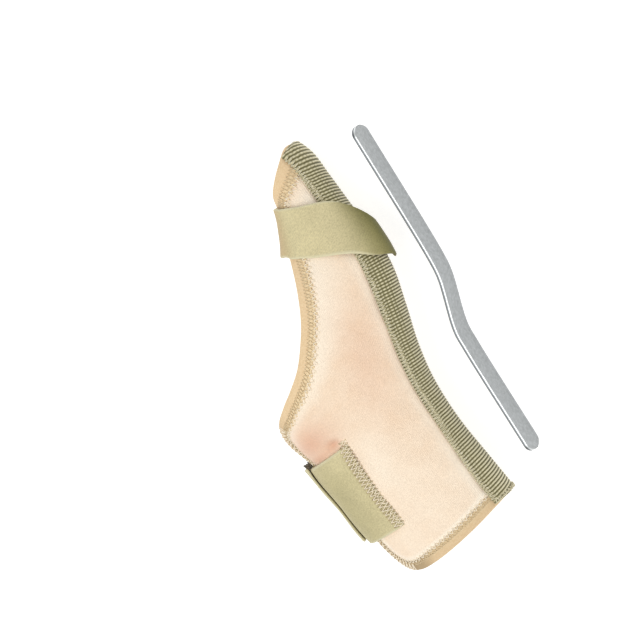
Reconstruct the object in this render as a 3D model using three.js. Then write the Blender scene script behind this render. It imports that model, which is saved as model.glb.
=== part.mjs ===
// A wrist and finger brace for the right hand, lying on its back with the palm side up.
// Millimetres: +X towards the thumb side, +Y from the forearm to the thumb's tip, +Z up.
import * as THREE from 'three';

// Driving dimensions
const NEOPRENE = 3.0;
const PINCHED = 0.7;
const TAPE = 0.75;
const TAPE_WIDTH = 5.5;
const TAPE_ROUND = 0.55;
const GAP = 0.3;
const PINCH_MARGIN = 1.2;
const PINCH_STEP = 0.4;
const DORSAL_TRIM = 0.95;
const FLAP_STATIONS = 50;
const CHANNEL_WIDTH = 25;
const CHANNEL_CLOTH = 1.2;
const CHANNEL_POCKET = 1.0;
const CHANNEL_GAP = 0.6;
const CHANNEL_ROWS = 30;
const CHANNEL_COLUMNS = 8;
const STRAP_CLOTH = 2.0;
const STRAP_GAP = 0.7;
const THUMB_STRAP_LIFT = 2.2;
const THUMB_STRAP_ROWS = 40;
const THUMB_STRAP_COLUMNS = 4;
const WRIST_STRAP_ROWS = 14;
const WRIST_STRAP_COLUMNS = 6;
const STAY_WIDTH = 14;
const STAY_METAL = 2;
const STAY_STEPS = 18;
const STAY_ROUND_STEPS = 5;

// The hollow that the brace is wrapped round: an oval at each y, flattened where it rests
const FLOOR = NEOPRENE;
const FORM = [
  { y: -12, x: 10.2, z: 20.5, across: 29.6, up: 19.0 },
  { y: 0, x: 9.4, z: 20.5, across: 30.3, up: 19.0 },
  { y: 15, x: 7.8, z: 20.5, across: 31.2, up: 19.0 },
  { y: 40, x: 7.5, z: 20.5, across: 30.4, up: 19.0 },
  { y: 62, x: 7.1, z: 21.0, across: 33.1, up: 19.5 },
  { y: 80, x: 7.6, z: 22.0, across: 37.9, up: 20.5 },
  { y: 98, x: 13.9, z: 22.5, across: 39.0, up: 21.0 },
  { y: 115, x: 26.2, z: 22.6, across: 33.0, up: 19.0 },
  { y: 130, x: 37.6, z: 21.9, across: 23.0, up: 16.5 },
  { y: 148, x: 44.5, z: 18.7, across: 14.1, up: 13.5 },
  { y: 165, x: 47.8, z: 16.1, across: 9.7, up: 11.0 },
  { y: 177, x: 47.9, z: 15.5, across: 9.2, up: 10.4 },
  { y: 190, x: 45.2, z: 15.1, across: 6.4, up: 9.4 },
];

// The fold between the two flaps, as a distance round the form from its thumb side
const FOLD = [
  { y: -12, q: -4.4 },
  { y: 12, q: -4.2 },
  { y: 45, q: -6.2 },
  { y: 80, q: -4.8 },
  { y: 112, q: -2.8 },
  { y: 140, q: -4.2 },
  { y: 192, q: -5.0 },
];

// The flat pattern of a flap, from the rim round the free edge to the tip:
// the distance out from the fold, y, and the y at which a line across the flap meets the fold
const FLAP = [
  { out: 0, y: 0.3, fold: 22 },
  { out: 12, y: -0.8, fold: 24 },
  { out: 25, y: -2.8, fold: 27 },
  { out: 38, y: -4.5, fold: 31 },
  { out: 50, y: -5.4, fold: 35.5 },
  { out: 60, y: -5, fold: 40 },
  { out: 67, y: -1.5, fold: 45 },
  { out: 71.3, y: 5, fold: 49.5 },
  { out: 73.3, y: 14, fold: 53.5 },
  { out: 74.5, y: 30, fold: 58.5 },
  { out: 77, y: 45, fold: 63 },
  { out: 81, y: 60, fold: 67.5 },
  { out: 85.2, y: 71, fold: 72 },
  { out: 87, y: 79, fold: 76.5 },
  { out: 84.5, y: 85.3, fold: 81.5 },
  { out: 76, y: 90.3, fold: 87.5 },
  { out: 66.5, y: 95.3, fold: 94 },
  { out: 58.3, y: 101, fold: 100.5 },
  { out: 51.5, y: 110, fold: 108.5 },
  { out: 46.4, y: 119, fold: 116 },
  { out: 42.8, y: 127.5, fold: 123 },
  { out: 39, y: 138, fold: 130.5 },
  { out: 35, y: 150, fold: 138 },
  { out: 32, y: 160, fold: 144 },
  { out: 28.5, y: 168.5, fold: 149.5 },
  { out: 21.5, y: 174.5, fold: 154 },
  { out: 16, y: 178.7, fold: 158 },
  { out: 11, y: 182, fold: 161.5 },
  { out: 6.5, y: 184, fold: 164.5 },
  { out: 0, y: 184.5, fold: 167 },
];
const ACROSS_FLAP = [0.12, 0.25, 0.39, 0.54, 0.68, 0.8, 0.9, 1];

// The thumb strap: part of the way round the form, and the y of its two edges there
const THUMB_STRAP = [
  { around: -0.055, low: 118, high: 135 },
  { around: 0.02, low: 123, high: 148 },
  { around: 0.09, low: 129.5, high: 154 },
  { around: 0.2, low: 136.2, high: 159 },
  { around: 0.3, low: 141, high: 163.2 },
  { around: 0.41, low: 144, high: 165.7 },
  { around: 0.5, low: 144.2, high: 165.9 },
  { around: 0.6, low: 143, high: 164.5 },
  { around: 0.69, low: 140.5, high: 162 },
];

// The wrist strap and the tab over its end: distances round the form and along it
const WRIST_STRAP = { from: 45, to: 89, low: 16.3, high: 61.5 };
const WRIST_TAB = { from: 73, to: 97, low: 18.6, high: 63.5 };

// The stay's middle line on the surface beside the brace
const STAY = [
  { x: 61.0, y: 8 },
  { x: 66.2, y: 64 },
  { x: 67.6, y: 73 },
  { x: 77.0, y: 96 },
  { x: 78.8, y: 104 },
  { x: 86.3, y: 174 },
];

const COLORS = {
  neoprene: 0xf0dac2,
  binding: 0xe0c898,
  ribbed: 0xb5ab82,
  strap: 0xc8c098,
  aluminium: 0xb4babc,
};

// Sections are measured as fine polylines
const SECTION_STEPS = 240;
const PROBE = 2.5;

// A smooth value at y from one column of a table
function smooth(table, key, y) {
  let i = 0;
  while (i < table.length - 2 && table[i + 1].y < y) i += 1;
  const slope = (k) => {
    const before = table[Math.max(k - 1, 0)];
    const after = table[Math.min(k + 1, table.length - 1)];
    return (after[key] - before[key]) / (after.y - before.y);
  };
  const span = table[i + 1].y - table[i].y;
  const t = (y - table[i].y) / span;
  const rise = table[i + 1][key] - table[i][key];
  const ease = t * t * (3 - 2 * t);
  const leave = t * (1 - t) * (1 - t) * slope(i) * span;
  const arrive = t * t * (1 - t) * slope(i + 1) * span;
  return table[i][key] + rise * ease + leave - arrive;
}

// The form's outline at y with its running length, from the thumb side over the palm side
const sections = new Map();
function sectionAt(y) {
  if (sections.has(y)) return sections.get(y);
  const oval = {};
  for (const key of ['x', 'z', 'across', 'up']) oval[key] = smooth(FORM, key, y);
  const points = [];
  const lengths = [];
  for (let i = 0; i <= SECTION_STEPS; i += 1) {
    const angle = (2 * Math.PI * i) / SECTION_STEPS;
    const z = Math.max(oval.z + oval.up * Math.sin(angle), FLOOR);
    points.push(new THREE.Vector3(oval.x + oval.across * Math.cos(angle), y, z));
    lengths.push(i === 0 ? 0 : lengths[i - 1] + points[i].distanceTo(points[i - 1]));
  }
  const section = { points, lengths, length: lengths[SECTION_STEPS] };
  sections.set(y, section);
  return section;
}

// The point of the form at distance q round it
function onForm(q, y) {
  const { points, lengths, length } = sectionAt(y);
  const wanted = THREE.MathUtils.euclideanModulo(q, length);
  let low = 0;
  let high = SECTION_STEPS;
  while (high - low > 1) {
    const middle = (low + high) >> 1;
    if (lengths[middle] > wanted) high = middle;
    else low = middle;
  }
  const t = (wanted - lengths[low]) / (lengths[high] - lengths[low]);
  return points[low].clone().lerp(points[high], t);
}

// The point at height h over the form
function place(q, y, h) {
  const round = onForm(q + PROBE, y).sub(onForm(q - PROBE, y));
  const along = onForm(q, y + PROBE).sub(onForm(q, y - PROBE));
  const outward = along.cross(round).normalize();
  return onForm(q, y).addScaledVector(outward, h);
}

// A closed body between two grids of points that have the same rows and columns
function slab(upper, lower) {
  const rows = upper.length;
  const columns = upper[0].length;
  const at = (face, i, j) => (face * rows + i) * columns + j;
  const index = [];
  const quad = (a, b, c, d) => index.push(a, b, c, a, c, d);
  const [top, bottom, lastRow, lastColumn] = [0, 1, rows - 1, columns - 1];
  for (let i = 0; i < lastRow; i += 1) {
    for (let j = 0; j < lastColumn; j += 1) {
      quad(at(top, i, j), at(top, i, j + 1), at(top, i + 1, j + 1), at(top, i + 1, j));
      quad(at(bottom, i + 1, j), at(bottom, i + 1, j + 1), at(bottom, i, j + 1), at(bottom, i, j));
    }
    quad(at(top, i, 0), at(top, i + 1, 0), at(bottom, i + 1, 0), at(bottom, i, 0));
    const [here, next] = [at(top, i, lastColumn), at(top, i + 1, lastColumn)];
    quad(next, here, at(bottom, i, lastColumn), at(bottom, i + 1, lastColumn));
  }
  for (let j = 0; j < lastColumn; j += 1) {
    quad(at(top, 0, j + 1), at(top, 0, j), at(bottom, 0, j), at(bottom, 0, j + 1));
    const [here, next] = [at(top, lastRow, j), at(top, lastRow, j + 1)];
    quad(here, next, at(bottom, lastRow, j + 1), at(bottom, lastRow, j));
  }
  const positions = [upper, lower].flat(2).flatMap((point) => point.toArray());
  const geometry = new THREE.BufferGeometry();
  geometry.setAttribute('position', new THREE.Float32BufferAttribute(positions, 3));
  geometry.setIndex(signedVolume(positions, index) < 0 ? index.reverse() : index);
  geometry.computeVertexNormals();
  return geometry;
}

function signedVolume(positions, index) {
  const corner = (k) => new THREE.Vector3().fromArray(positions, 3 * k);
  let sum = 0;
  for (let k = 0; k < index.length; k += 3) {
    const face = corner(index[k]).dot(corner(index[k + 1]).cross(corner(index[k + 2])));
    sum += face / 6;
  }
  return sum;
}

// A flap's outline as stations: a point of the edge, the way inward, and where its line meets the fold
function flapStations() {
  const knots = FLAP.map(({ out, y, fold }) => new THREE.Vector3(out, y, fold));
  const curve = new THREE.CatmullRomCurve3(knots);
  const stations = [];
  for (let i = 0; i <= FLAP_STATIONS; i += 1) {
    const t = i / FLAP_STATIONS;
    const { x: out, y, z: fold } = curve.getPoint(t);
    const way = curve.getTangent(t);
    const inward = new THREE.Vector2(-way.y, way.x).normalize();
    stations.push({ edge: new THREE.Vector2(out, y), inward, fold });
  }
  return stations;
}

// A point of a flap's flat pattern, wrapped on the form; side is 1 for the palm, -1 for the back
function onFlap(side, point, h) {
  const out = Math.max(point.x, GAP / 2);
  const trim = side > 0 ? 1 : DORSAL_TRIM;
  return place(smooth(FOLD, 'q', point.y) + side * trim * out, point.y, h);
}

// The padded cloth of one flap, pinched thin along its edge where the binding holds it
function flapGeometry(side) {
  const pinch = (NEOPRENE - PINCHED) / 2;
  const step = TAPE_WIDTH + PINCH_MARGIN;
  const columns = [
    { depth: 0, low: pinch, high: NEOPRENE - pinch },
    { depth: TAPE_WIDTH, low: pinch, high: NEOPRENE - pinch },
    { depth: step, low: pinch, high: NEOPRENE - pinch },
    { depth: step + PINCH_STEP, low: 0, high: NEOPRENE },
  ];
  for (const part of ACROSS_FLAP) columns.push({ part, low: 0, high: NEOPRENE });
  const stations = flapStations();
  const face = (height) =>
    stations.map(({ edge, inward, fold }) => {
      const start = edge.clone().addScaledVector(inward, step + PINCH_STEP);
      const end = new THREE.Vector2(0, fold);
      return columns.map((column) => {
        const point = start.clone().lerp(end, column.part ?? 0);
        if (column.part === undefined) point.copy(edge).addScaledVector(inward, column.depth);
        return onFlap(side, point, column[height]);
      });
    });
  return slab(face('high'), face('low'));
}

// The tape folded over a flap's edge: depth in from the edge and height, on its two faces
function bindingGeometry(side) {
  const outside = GAP + TAPE;
  const inner = [
    [TAPE_WIDTH, TAPE],
    [-GAP, TAPE],
    [-GAP, NEOPRENE / 2 - TAPE_ROUND],
    [-GAP, NEOPRENE / 2 + TAPE_ROUND],
    [-GAP, NEOPRENE - TAPE],
    [TAPE_WIDTH, NEOPRENE - TAPE],
  ];
  const outer = [
    [TAPE_WIDTH, 0],
    [TAPE_ROUND - outside, 0],
    [-outside, TAPE_ROUND],
    [-outside, NEOPRENE - TAPE_ROUND],
    [TAPE_ROUND - outside, NEOPRENE],
    [TAPE_WIDTH, NEOPRENE],
  ];
  const stations = flapStations();
  const wrap = (profile) =>
    stations.map(({ edge, inward }) =>
      profile.map(([depth, h]) => onFlap(side, edge.clone().addScaledVector(inward, depth), h)),
    );
  return slab(wrap(inner), wrap(outer));
}

// A strip of cloth: point gives a place from the way along it, the way across it and the face
function stripGeometry(rows, columns, point) {
  const steps = (count) => [...Array(count + 1).keys()].map((k) => k / count);
  const face = (side) => steps(rows).map((t) => steps(columns).map((u) => point(t, u, side)));
  return slab(face(1), face(0));
}

// The ribbed band arches over its pocket and lies close to the flaps along its two edges
const CHANNEL_ENDS = { rim: -0.6, tip: 184.2, roundedBy: 2.4 };
function channelGeometry() {
  return stripGeometry(CHANNEL_ROWS, CHANNEL_COLUMNS, (t, u, face) => {
    const side = 2 * u - 1;
    const tip = CHANNEL_ENDS.tip - CHANNEL_ENDS.roundedBy * side * side;
    const y = THREE.MathUtils.lerp(CHANNEL_ENDS.rim, tip, t);
    const arch = CHANNEL_POCKET * (1 - side * side);
    const h = NEOPRENE + CHANNEL_GAP + arch + face * CHANNEL_CLOTH;
    return place(smooth(FOLD, 'q', y) + (side * CHANNEL_WIDTH) / 2, y, h);
  });
}

// The thumb strap rides over the channel and stands off a little at its cut end
const CHANNEL_TOP = CHANNEL_GAP + CHANNEL_POCKET + CHANNEL_CLOTH;
const STRAP_RISE = 28;
const LIFT_FROM = 0.16;
function thumbStrapGeometry() {
  const knots = THUMB_STRAP.map(({ around, low, high }) => new THREE.Vector3(around, low, high));
  const curve = new THREE.CatmullRomCurve3(knots);
  return stripGeometry(THUMB_STRAP_ROWS, THUMB_STRAP_COLUMNS, (t, u, face) => {
    const { x: around, y: low, z: high } = curve.getPoint(t);
    const y = THREE.MathUtils.lerp(low, high, u);
    const q = around * sectionAt(y).length;
    const near = Math.min(Math.abs(q - smooth(FOLD, 'q', y)) / STRAP_RISE, 1);
    const rise = CHANNEL_TOP * Math.cos((near * Math.PI) / 2) ** 2;
    const lift = THUMB_STRAP_LIFT * (1 - Math.min(t / LIFT_FROM, 1)) ** 2;
    return place(q, y, NEOPRENE + STRAP_GAP + rise + lift + face * STRAP_CLOTH);
  });
}

// The wrist strap lies on both flaps; the tab lies on the strap and steps down past its end
function wristStrapGeometry() {
  const { from, to, low, high } = WRIST_STRAP;
  return stripGeometry(WRIST_STRAP_ROWS, WRIST_STRAP_COLUMNS, (t, u, face) => {
    const y = THREE.MathUtils.lerp(low, high, u);
    const q = THREE.MathUtils.lerp(from, to, t);
    return place(q, y, NEOPRENE + STRAP_GAP + face * STRAP_CLOTH);
  });
}

const TAB_STEP = 5.5;
function wristTabGeometry() {
  const { from, to, low, high } = WRIST_TAB;
  return stripGeometry(WRIST_STRAP_ROWS, WRIST_STRAP_COLUMNS, (t, u, face) => {
    const y = THREE.MathUtils.lerp(low, high, u);
    const q = THREE.MathUtils.lerp(from, to, t);
    const past = THREE.MathUtils.smoothstep(q, WRIST_STRAP.to, WRIST_STRAP.to + TAB_STEP);
    const rest = (STRAP_CLOTH + STRAP_GAP) * (1 - past);
    return place(q, y, NEOPRENE + STRAP_GAP + rest + face * STRAP_CLOTH);
  });
}

// The stay stands on its long edge: a strip with round ends, bent into a dogleg
function stayGeometry() {
  const knots = STAY.map(({ x, y }) => new THREE.Vector3(x, y, 0));
  const curve = new THREE.CatmullRomCurve3(knots);
  const length = curve.getLength();
  const half = STAY_WIDTH / 2;
  const stations = [];
  for (let k = 1; k <= STAY_ROUND_STEPS; k += 1) {
    const angle = (k / STAY_ROUND_STEPS) * (Math.PI / 2);
    stations.push({ along: half * (1 - Math.cos(angle)), reach: half * Math.sin(angle) });
  }
  const ends = stations.map(({ along, reach }) => ({ along: length - along, reach })).reverse();
  for (let k = 1; k < STAY_STEPS; k += 1) {
    const along = THREE.MathUtils.lerp(half, length - half, k / STAY_STEPS);
    stations.push({ along, reach: half });
  }
  stations.push(...ends);
  const face = (side) =>
    stations.map(({ along, reach }) => {
      const middle = curve.getPointAt(along / length);
      const way = curve.getTangentAt(along / length);
      const sideways = new THREE.Vector3(way.y, -way.x, 0);
      middle.addScaledVector(sideways, (side * STAY_METAL) / 2);
      return [-1, 1].map((up) => middle.clone().setZ(half + up * reach));
    });
  return slab(face(1), face(-1));
}

function material(color, roughness, metalness) {
  return new THREE.MeshStandardMaterial({ color, roughness, metalness });
}

const cloth = () => material(COLORS.neoprene, 0.9, 0);
const tape = () => material(COLORS.binding, 0.85, 0);
const loop = () => material(COLORS.strap, 0.95, 0);

const PIECES = [
  ['palmar_flap', flapGeometry(1), cloth()],
  ['dorsal_flap', flapGeometry(-1), cloth()],
  ['palmar_binding', bindingGeometry(1), tape()],
  ['dorsal_binding', bindingGeometry(-1), tape()],
  ['stay_channel', channelGeometry(), material(COLORS.ribbed, 0.9, 0)],
  ['thumb_strap', thumbStrapGeometry(), loop()],
  ['wrist_strap', wristStrapGeometry(), loop()],
  ['wrist_tab', wristTabGeometry(), loop()],
  ['stay', stayGeometry(), material(COLORS.aluminium, 0.35, 1)],
];

const brace = new THREE.Group();
for (const [name, geometry, look] of PIECES) {
  const mesh = new THREE.Mesh(geometry, look);
  mesh.name = name;
  brace.add(mesh);
}

// The origin is the middle of what the brace covers on the surface that it lies on
const box = new THREE.Box3().setFromObject(brace);
const middle = box.getCenter(new THREE.Vector3());
for (const mesh of brace.children) mesh.position.set(-middle.x, -middle.y, -box.min.z);

export default brace;
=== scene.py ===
# %% [markdown]
# A wrist and finger brace lies on its back, and a bent metal stay lies beside it.
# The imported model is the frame: it gives each piece its place and its size in metres.
# This lesson builds the cloth, the tape, the ribs, the threads and the metal around that frame.

# %% Load the frame
import math

import bmesh
import bpy
import numpy as np
from mathutils import Matrix, Vector


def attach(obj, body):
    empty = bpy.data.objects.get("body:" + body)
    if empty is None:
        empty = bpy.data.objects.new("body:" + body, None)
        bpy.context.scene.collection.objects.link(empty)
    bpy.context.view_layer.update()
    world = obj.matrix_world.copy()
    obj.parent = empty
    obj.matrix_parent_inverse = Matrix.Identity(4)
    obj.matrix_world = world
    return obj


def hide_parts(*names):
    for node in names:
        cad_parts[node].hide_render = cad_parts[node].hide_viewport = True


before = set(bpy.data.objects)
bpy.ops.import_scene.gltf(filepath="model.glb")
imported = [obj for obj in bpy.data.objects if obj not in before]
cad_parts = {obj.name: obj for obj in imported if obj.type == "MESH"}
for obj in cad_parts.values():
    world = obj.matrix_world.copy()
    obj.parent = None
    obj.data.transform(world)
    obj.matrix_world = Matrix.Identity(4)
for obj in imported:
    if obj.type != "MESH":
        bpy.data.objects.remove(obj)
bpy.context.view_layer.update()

print("nodes", sorted(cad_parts))

# %% [markdown]
# The camera comes first, because every later size is judged through it.
# It looks down on the palm side from the thumb side, through a long lens, so the shape hardly tapers.
# The pattern below is drawn in millimetres about the forearm end of the fold.
# ROW_ORIGIN is where the row's own origin lies in that drawing.

# %% Camera
MM = 0.001
ROW_ORIGIN = Vector((26.383, 89.939, 0.0))
TO_CAMERA = Vector((0.5, 0.0, 0.86603))
IMAGE_RIGHT = Vector((0.69282, -0.6, -0.4))
IMAGE_UP = Vector((0.51962, 0.8, -0.3))
AIM_RIGHT = -63.64
AIM_UP = 94.55
CAMERA_AWAY = 1130
SENSOR = 36
LENS = 134.9

aim = IMAGE_RIGHT * AIM_RIGHT + IMAGE_UP * AIM_UP - ROW_ORIGIN
camera_data = bpy.data.cameras.new("camera")
camera_data.sensor_width = SENSOR
camera_data.lens = LENS
camera = bpy.data.objects.new("camera", camera_data)
turn = Matrix((IMAGE_RIGHT, IMAGE_UP, TO_CAMERA)).transposed().to_4x4()
camera.matrix_world = Matrix.Translation((aim + TO_CAMERA * CAMERA_AWAY) * MM) @ turn
bpy.context.scene.collection.objects.link(camera)
bpy.context.scene.camera = camera
print("camera at", [round(value, 3) for value in camera.matrix_world.translation])

# %% [markdown]
# A material is a tree of nodes. One small function adds a node, sets it and links it, and a node that
# is given as an input is linked by its first output in use. Another mixes a colour in where a note on
# the mesh says so. Colours are written as sRGB hex and turned to linear light once, here.
# Blender's wave texture runs through twenty radians in one unit of its scale, so a period in
# millimetres has to be worked back from that.

# %% Colour and node helpers
WAVE_RADIANS = 20


def linear(hex_code, alpha=1.0):
    channels = [int(hex_code[i:i + 2], 16) / 255 for i in (1, 3, 5)]
    curved = [c / 12.92 if c <= 0.04045 else ((c + 0.055) / 1.055) ** 2.4 for c in channels]
    return (*curved, alpha)


def first_output(value):
    if isinstance(value, bpy.types.Node):
        return next(output for output in value.outputs if output.enabled)
    return value


def add_node(tree, kind, inputs=None, stops=(), **settings):
    node = tree.nodes.new("ShaderNode" + kind)
    for name, value in settings.items():
        setattr(node, name, value)
    for socket, given in (inputs or {}).items():
        value = first_output(given)
        if isinstance(value, bpy.types.NodeSocket):
            tree.links.new(value, node.inputs[socket])
        else:
            node.inputs[socket].default_value = value
    for k, (position, *colour) in enumerate(stops):
        made = node.color_ramp.elements
        stop = made[k] if k < 2 else made.new(position)
        stop.position = position
        stop.color = linear(*colour)
    return node


def new_material(name, **values):
    material = bpy.data.materials.new(name)
    material.use_nodes = True
    tree = material.node_tree
    shader = tree.nodes["Principled BSDF"]
    for socket, value in values.items():
        shader.inputs[socket.replace("_", " ")].default_value = value
    return material, tree, shader


def connect(tree, shader, **outputs):
    for socket, value in outputs.items():
        tree.links.new(first_output(value), shader.inputs[socket.replace("_", " ")])
    print(len(tree.nodes), "nodes connected")


def tinted(tree, base, note, colour, span=None):
    amount = add_node(tree, "Attribute", attribute_name=note).outputs["Fac"]
    if span:
        amount = add_node(tree, "MapRange", {"Value": amount, **span})
    return add_node(tree, "Mix", {"Factor": amount, "A": base, "B": colour}, data_type="RGBA")


def wave_scale(period_mm):
    return 2 * math.pi / WAVE_RADIANS / (period_mm * MM)


print("linear of mid grey", round(linear("#808080")[0], 3))

# %% [markdown]
# The brace is cloth wrapped round a hollow, so its shape is a form and a flat pattern.
# The form is an oval at each y, flattened where it rests. A sculpted mesh would do as well, but
# a table of a few ovals with a smooth curve through them is easier to correct.
# The fold is the line on the thumb side where the two flaps meet.

# %% Ovals of the form
NEOPRENE = 3.0
FORM_COLUMNS = ("y", "x", "z", "across", "up")
FORM = np.array([
    (-12, 10.2, 20.5, 29.6, 19.0),
    (0, 9.4, 20.5, 30.3, 19.0),
    (15, 7.8, 20.5, 31.2, 19.0),
    (40, 7.5, 20.5, 30.4, 19.0),
    (62, 7.1, 21.0, 33.1, 19.5),
    (80, 7.6, 22.0, 37.9, 20.5),
    (98, 13.9, 22.5, 39.0, 21.0),
    (115, 26.2, 22.6, 33.0, 19.0),
    (130, 37.6, 21.9, 23.0, 16.5),
    (148, 44.5, 18.7, 14.1, 13.5),
    (165, 47.8, 16.1, 9.7, 11.0),
    (177, 47.9, 15.5, 9.2, 10.4),
    (190, 45.2, 15.1, 6.4, 9.4),
])
FOLD_COLUMNS = ("y", "q")
FOLD = np.array([
    (-12, -4.4), (12, -4.2), (45, -6.2), (80, -4.8), (112, -2.8), (140, -4.2), (192, -5.0),
])
SECTION_STEPS = 240


def smooth(table, columns, key, y):
    knots = table[:, 0]
    values = table[:, columns.index(key)]
    slopes = np.empty_like(values)
    slopes[1:-1] = (values[2:] - values[:-2]) / (knots[2:] - knots[:-2])
    slopes[0] = (values[1] - values[0]) / (knots[1] - knots[0])
    slopes[-1] = (values[-1] - values[-2]) / (knots[-1] - knots[-2])
    i = np.clip(np.searchsorted(knots, y) - 1, 0, len(knots) - 2)
    span = knots[i + 1] - knots[i]
    t = (y - knots[i]) / span
    ease = t * t * (3 - 2 * t)
    leave = t * (1 - t) * (1 - t) * slopes[i] * span
    arrive = t * t * (1 - t) * slopes[i + 1] * span
    return values[i] + (values[i + 1] - values[i]) * ease + leave - arrive


def fold_at(y):
    return smooth(FOLD, FOLD_COLUMNS, "q", y)


def outline(y):
    x, z, across, up = (smooth(FORM, FORM_COLUMNS, key, y)[:, None] for key in FORM_COLUMNS[1:])
    angle = np.linspace(0, 2 * np.pi, SECTION_STEPS + 1)
    xs = x + across * np.cos(angle)
    zs = np.maximum(z + up * np.sin(angle), NEOPRENE)
    run = np.zeros_like(xs)
    run[:, 1:] = np.cumsum(np.hypot(np.diff(xs), np.diff(zs)), axis=1)
    return xs, zs, run


wrist_round = outline(np.array([40.0]))[2][0, -1]
print("round the wrist", round(wrist_round, 1), "mm")

# %% [markdown]
# A point of the pattern has a way round the form, q, a way along it, y, and a height above it, h.
# The outward direction comes from two short steps on the form, one each way.
# Everything is worked out on whole arrays of points, which is fast.

# %% Wrapping points round the form
PROBE = 2.5


def on_form(q, y):
    xs, zs, run = outline(y)
    wanted = np.mod(q, run[:, -1])
    k = np.clip((run <= wanted[:, None]).sum(axis=1) - 1, 0, SECTION_STEPS - 1)
    row = np.arange(len(y))
    t = (wanted - run[row, k]) / (run[row, k + 1] - run[row, k])
    x = xs[row, k] + (xs[row, k + 1] - xs[row, k]) * t
    z = zs[row, k] + (zs[row, k + 1] - zs[row, k]) * t
    return np.stack([x, y, z], axis=1)


def place(q, y, h):
    ahead = on_form(q + PROBE, y) - on_form(q - PROBE, y)
    along = on_form(q, y + PROBE) - on_form(q, y - PROBE)
    outward = np.cross(along, ahead)
    outward /= np.linalg.norm(outward, axis=1)[:, None]
    return on_form(q, y) + outward * h[:, None]


def to_row(spots):
    return (spots - np.array(ROW_ORIGIN)) * MM


print("the thumb side at y 40", place(np.zeros(1), np.full(1, 40.0), np.zeros(1)).round(1))

# %% [markdown]
# Each flap is one flat pattern with a curved free edge. A curve through a few knots gives the edge,
# and each knot also says where a line across the flap meets the fold.
# Measuring the edge by its own length keeps every stitch the same size later on.

# %% The flat pattern
FLAP_KNOTS = np.array([
    # out from the fold, y, y where its line meets the fold
    (0, 0.3, 22), (12, -0.8, 24), (25, -2.8, 27), (38, -4.5, 31), (50, -5.4, 35.5),
    (60, -5, 40), (67, -1.5, 45), (71.3, 5, 49.5), (73.3, 14, 53.5), (74.5, 30, 58.5),
    (77, 45, 63), (81, 60, 67.5), (85.2, 71, 72), (87, 79, 76.5), (84.5, 85.3, 81.5),
    (76, 90.3, 87.5), (66.5, 95.3, 94), (58.3, 101, 100.5), (51.5, 110, 108.5),
    (46.4, 119, 116), (42.8, 127.5, 123), (39, 138, 130.5), (35, 150, 138), (32, 160, 144),
    (28.5, 168.5, 149.5), (21.5, 174.5, 154), (16, 178.7, 158), (11, 182, 161.5),
    (6.5, 184, 164.5), (0, 184.5, 167),
])
CURVE_SAMPLES = 3000


def curve_through(knots, t):
    ends = 2 * knots[[0, -1]] - knots[[1, -2]]
    all_knots = np.vstack([ends[:1], knots, ends[1:]])
    gaps = np.sqrt(np.linalg.norm(np.diff(all_knots, axis=0), axis=1))[:, None]
    way = t * (len(knots) - 1)
    i = np.clip(way.astype(int), 0, len(knots) - 2)
    w = (way - i)[:, None]
    before, here, there, after = (all_knots[i + step] for step in range(4))
    g0, g1, g2 = (gaps[i + step] for step in range(3))
    leave = ((here - before) / g0 - (there - before) / (g0 + g1) + (there - here) / g1) * g1
    arrive = ((there - here) / g1 - (after - here) / (g1 + g2) + (after - there) / g2) * g1
    ease = w * w * (3 - 2 * w)
    bend = w * (1 - w) * (1 - w) * leave - w * w * (1 - w) * arrive
    return here + (there - here) * ease + bend


def measured_curve(knots):
    points = curve_through(knots, np.linspace(0, 1, CURVE_SAMPLES))
    steps = np.linalg.norm(np.diff(points[:, :2], axis=0), axis=1)
    ways = np.gradient(points[:, :2], axis=0)
    ways /= np.linalg.norm(ways, axis=1)[:, None]
    return points, np.concatenate([[0], np.cumsum(steps)]), ways


edge_points, edge_run, edge_ways = measured_curve(FLAP_KNOTS)
EDGE_LENGTH = edge_run[-1]
print("a flap's free edge", round(EDGE_LENGTH, 1), "mm")

# %% [markdown]
# A seam is drawn by its run along the free edge and its depth in from it. Three small functions turn
# that into places. The back flap is the palm pattern mirrored, and cut a little narrower.

# %% Places on a flap
SIDES = {"palmar": 1, "dorsal": -1}
FOLD_GAP = 0.03
DORSAL_TRIM = 0.95


def edge_at(run):
    out, y, fold = (np.interp(run, edge_run, edge_points[:, k]) for k in range(3))
    way_out, way_y = (np.interp(run, edge_run, edge_ways[:, k]) for k in range(2))
    return np.stack([out, y], axis=1), np.stack([-way_y, way_out], axis=1), fold


def on_flap(side, pattern, h):
    trim = 1.0 if side > 0 else DORSAL_TRIM
    out = np.maximum(pattern[:, 0], FOLD_GAP)
    return place(fold_at(pattern[:, 1]) + side * trim * out, pattern[:, 1], h)


def in_from_edge(side, run, depth, h):
    edge, inward, _ = edge_at(run)
    return on_flap(side, edge + inward * depth[:, None], h)


start = in_from_edge(SIDES["palmar"], np.zeros(1), np.zeros(1), np.zeros(1))
print("the edge starts at", start.round(1))

# %% [markdown]
# A few helpers serve every piece. One turns a finished bmesh into an object, and one gives it its
# material and its body. A ramp is a soft step, a fade is a ramp with a strength, and a bump is soft on
# both sides. Hills and ripples add up the rows of a table. The last helper gives a place on the flat
# cloth in metres.

# %% Helpers for every piece
def piece_from(bm, name):
    mesh = bpy.data.meshes.new(name)
    bm.to_mesh(mesh)
    bm.free()
    piece = bpy.data.objects.new(name, mesh)
    bpy.context.scene.collection.objects.link(piece)
    return piece


def finish_piece(piece, material, nodes=()):
    piece.data.materials.clear()
    piece.data.materials.append(material)
    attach(piece, "root")
    if nodes:
        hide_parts(*nodes)
    print(piece.name, len(piece.data.polygons), "faces in", material.name)


def ramp(low, high, value):
    t = np.clip((value - low) / (high - low), 0, 1)
    return t * t * (3 - 2 * t)


def fade(step, value):
    return step["strength"] * ramp(step["from"], step["to"], value)


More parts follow.
